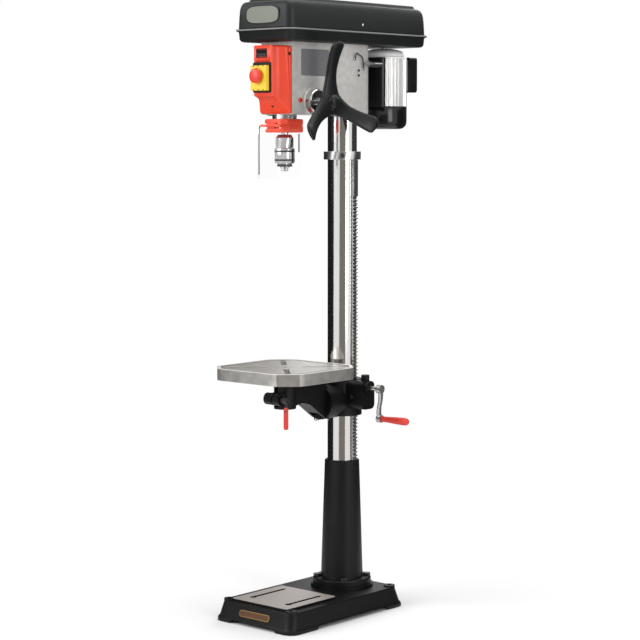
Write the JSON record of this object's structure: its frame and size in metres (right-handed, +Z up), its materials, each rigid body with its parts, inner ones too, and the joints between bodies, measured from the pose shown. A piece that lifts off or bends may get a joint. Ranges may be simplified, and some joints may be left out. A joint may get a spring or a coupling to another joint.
{
  "type": "floor-standing drill press",
  "caption": "Floor-standing drill press with a stepped-pulley belt drive, geared rack-and-pinion table lift, tilting table and three-spoke quill feed.",
  "frame": {"origin": "centre of the machine's footprint, on the floor", "axes": "+Z up along the column; -Y is the front, where the operator stands; +X is the operator's right, the side of the feed handle and the crank"},
  "size_m": [0.378, 0.6294, 1.578],
  "materials": {
    "black_casting": "satin black paint on cast iron",
    "silver_casting": "silver-grey hammered paint on cast iron",
    "black_sheet": "charcoal satin paint on sheet steel",
    "orange_plastic": "satin",
    "red_plastic": "semi-gloss",
    "yellow_plastic": "satin",
    "green_plastic": "semi-gloss",
    "black_plastic": "satin",
    "bright_steel": "turned and ground",
    "ground_iron": "ground",
    "cast_aluminium": "as cast, satin",
    "belt_rubber": "matt",
    "clear_plastic": "clear"
  },
  "bodies": {
    "frame": {"base_casting": "black_casting", "column_support": "black_casting", "support_bolt_1": "bright_steel", "support_bolt_2": "bright_steel", "support_bolt_3": "bright_steel", "support_bolt_4": "bright_steel", "column_tube": "bright_steel", "rack_collar": "bright_steel", "head_casting": "silver_casting", "switch_housing": "orange_plastic", "switch_base": "black_plastic", "spring_cap": "black_sheet", "return_spring": "bright_steel", "guard_pan": "black_sheet", "idler_post": "bright_steel", "belt_front": "belt_rubber", "belt_rear": "belt_rubber"},
    "rack_ring": {"rack": "bright_steel"},
    "bracket": {"table_bracket": "black_casting", "tilt_bolt": "bright_steel"},
    "pinion": {"lift_pinion": "bright_steel"},
    "crank": {"worm_shaft": "bright_steel", "crank_arm": "cast_aluminium"},
    "crank_grip_body": {"crank_grip": "red_plastic"},
    "column_lever": {"column_lock_lever": "bright_steel"},
    "arm": {"table_arm": "black_casting"},
    "table_lever": {"table_lock_lever": "bright_steel"},
    "work_table": {"table": "ground_iron"},
    "quill_group": {"quill": "bright_steel", "quill_bearing_lower": "bright_steel", "quill_bearing_upper": "bright_steel", "guard_clamp": "orange_plastic"},
    "spindle_group": {"spindle": "bright_steel", "chuck_body": "bright_steel"},
    "sleeve": {"chuck_sleeve": "bright_steel"},
    "jaw_1": {"chuck_jaw_1": "bright_steel"},
    "jaw_2": {"chuck_jaw_2": "bright_steel"},
    "jaw_3": {"chuck_jaw_3": "bright_steel"},
    "shield": {"chuck_guard": "clear_plastic"},
    "feed": {"feed_shaft": "bright_steel", "feed_handle": "black_plastic"},
    "depth_stop": {"depth_ring": "bright_steel"},
    "drive": {"spindle_pulley": "cast_aluminium"},
    "idler": {"idler_pulley": "cast_aluminium"},
    "motor": {"motor_body": "cast_aluminium", "motor_top_cap": "cast_aluminium", "motor_fan_cowl": "black_plastic", "terminal_box": "black_plastic", "capacitor": "cast_aluminium", "motor_plate": "black_casting", "slide_bar_left": "bright_steel", "slide_bar_right": "bright_steel"},
    "rotor": {"motor_rotor": "bright_steel", "motor_pulley": "cast_aluminium"},
    "knob": {"tension_knob": "bright_steel"},
    "lid": {"guard_lid": "black_sheet"},
    "flap": {"switch_flap": "yellow_plastic"},
    "stop": {"stop_mushroom": "red_plastic"},
    "start": {"start_button": "green_plastic"},
    "rocker": {"light_rocker": "black_plastic"}
  },
  "joints": [
    {"name": "rack_swing", "type": "hinge", "parent": "frame", "child": "rack_ring", "pos_m": [-0.044, 0.05275, 0.39], "axis": [0, 0, 1], "range_deg": [-180, 180]},
    {"name": "table_lift", "type": "slide", "parent": "rack_ring", "child": "bracket", "axis": [0, 0, 1], "range_m": [-0.1, 0.38]},
    {"name": "pinion_turn", "type": "hinge", "parent": "bracket", "child": "pinion", "pos_m": [0.016, 0.05275, 0.5625], "axis": [0, 1, 0], "range_deg": [-1460, 390]},
    {"name": "crank_turn", "type": "hinge", "parent": "bracket", "child": "crank", "pos_m": [0.095, 0.04045, 0.587], "axis": [1, 0, 0], "range_deg": [-7700, 29100]},
    {"name": "grip_spin", "type": "hinge", "parent": "crank", "child": "crank_grip_body", "pos_m": [0.136, 0.04045, 0.51], "axis": [1, 0, 0], "continuous": true},
    {"name": "column_lock", "type": "hinge", "parent": "bracket", "child": "column_lever", "pos_m": [-0.11, 0.05275, 0.557], "axis": [0, 1, 0], "range_deg": [-5, 80]},
    {"name": "table_tilt", "type": "hinge", "parent": "bracket", "child": "arm", "pos_m": [-0.044, -0.01325, 0.548], "axis": [0, 1, 0], "range_deg": [-45, 45]},
    {"name": "table_lock", "type": "hinge", "parent": "arm", "child": "table_lever", "pos_m": [-0.014, -0.20575, 0.573], "axis": [1, 0, 0], "range_deg": [-60, 60]},
    {"name": "table_turn", "type": "hinge", "parent": "arm", "child": "work_table", "pos_m": [-0.044, -0.16975, 0.62], "axis": [0, 0, 1], "range_deg": [-180, 180]},
    {"name": "quill_feed", "type": "slide", "parent": "frame", "child": "quill_group", "axis": [0, 0, -1], "range_m": [0, 0.08], "stiffness_N_per_m": 300, "springref_m": -0.3},
    {"name": "feed_turn", "type": "hinge", "parent": "frame", "child": "feed", "pos_m": [-0.044, -0.12725, 1.322], "axis": [1, 0, 0], "range_deg": [0, 242]},
    {"name": "depth_ring_turn", "type": "hinge", "parent": "feed", "child": "depth_stop", "pos_m": [0.026, -0.12725, 1.322], "axis": [1, 0, 0], "range_deg": [-170, 170]},
    {"name": "spindle_spin", "type": "hinge", "parent": "quill_group", "child": "spindle_group", "pos_m": [-0.044, -0.16975, 1.3], "axis": [0, 0, 1], "continuous": true},
    {"name": "sleeve_turn", "type": "hinge", "parent": "spindle_group", "child": "sleeve", "pos_m": [-0.044, -0.16975, 1.188], "axis": [0, 0, 1], "range_deg": [-1000, 380]},
    {"name": "jaw_1_slide", "type": "slide", "parent": "spindle_group", "child": "jaw_1", "axis": [-0.2079, 0, -0.9781], "range_m": [-0.007, 0.002]},
    {"name": "jaw_2_slide", "type": "slide", "parent": "spindle_group", "child": "jaw_2", "axis": [0.104, -0.1801, -0.9781], "range_m": [-0.007, 0.002]},
    {"name": "jaw_3_slide", "type": "slide", "parent": "spindle_group", "child": "jaw_3", "axis": [0.104, 0.1801, -0.9781], "range_m": [-0.007, 0.002]},
    {"name": "guard_swing", "type": "hinge", "parent": "quill_group", "child": "shield", "pos_m": [-0.044, -0.22005, 1.262], "axis": [-1, 0, 0], "range_deg": [0, 90]},
    {"name": "spindle_drive", "type": "hinge", "parent": "frame", "child": "drive", "pos_m": [-0.044, -0.16975, 1.5], "axis": [0, 0, 1], "continuous": true},
    {"name": "idler_spin", "type": "hinge", "parent": "frame", "child": "idler", "pos_m": [-0.044, -0.00425, 1.5], "axis": [0, 0, 1], "continuous": true},
    {"name": "motor_slide", "type": "slide", "parent": "frame", "child": "motor", "axis": [0, 1, 0], "range_m": [-0.012, 0]},
    {"name": "motor_spin", "type": "hinge", "parent": "motor", "child": "rotor", "pos_m": [-0.044, 0.22075, 1.5], "axis": [0, 0, 1], "continuous": true},
    {"name": "tension_turn", "type": "hinge", "parent": "frame", "child": "knob", "pos_m": [0.026, 0.06975, 1.422], "axis": [1, 0, 0], "range_deg": [-90, 90]},
    {"name": "lid_swing", "type": "hinge", "parent": "frame", "child": "lid", "pos_m": [-0.1398, 0.05275, 1.5036], "axis": [0, -1, 0], "range_deg": [0, 95]},
    {"name": "flap_swing", "type": "hinge", "parent": "frame", "child": "flap", "pos_m": [-0.044, -0.25485, 1.41], "axis": [-1, 0, 0], "range_deg": [0, 90]},
    {"name": "stop_press", "type": "slide", "parent": "flap", "child": "stop", "axis": [0, 1, 0], "range_m": [0, 0.004], "stiffness_N_per_m": 300, "springref_m": -0.004},
    {"name": "start_press", "type": "slide", "parent": "frame", "child": "start", "axis": [0, 1, 0], "range_m": [0, 0.0025], "stiffness_N_per_m": 300, "springref_m": -0.003},
    {"name": "rocker_tilt", "type": "hinge", "parent": "frame", "child": "rocker", "pos_m": [-0.047, -0.24525, 1.4405], "axis": [1, 0, 0], "range_deg": [-8, 8]}
  ],
  "couplings": [
    {"joint": "pinion_turn", "follows": "table_lift", "rad_per_m": -66.667},
    {"joint": "crank_turn", "follows": "table_lift", "rad_per_m": 1333.3},
    {"joint": "feed_turn", "follows": "quill_feed", "rad_per_m": 52.632},
    {"joint": "idler_spin", "follows": "motor_spin", "ratio": 0.62791},
    {"joint": "spindle_drive", "follows": "motor_spin", "ratio": 0.53084},
    {"joint": "spindle_spin", "follows": "motor_spin", "ratio": 0.53084},
    {"joint": "jaw_1_slide", "follows": "sleeve_turn", "m_per_rad": 0.00028648},
    {"joint": "jaw_2_slide", "follows": "sleeve_turn", "m_per_rad": 0.00028648},
    {"joint": "jaw_3_slide", "follows": "sleeve_turn", "m_per_rad": 0.00028648}
  ]
}
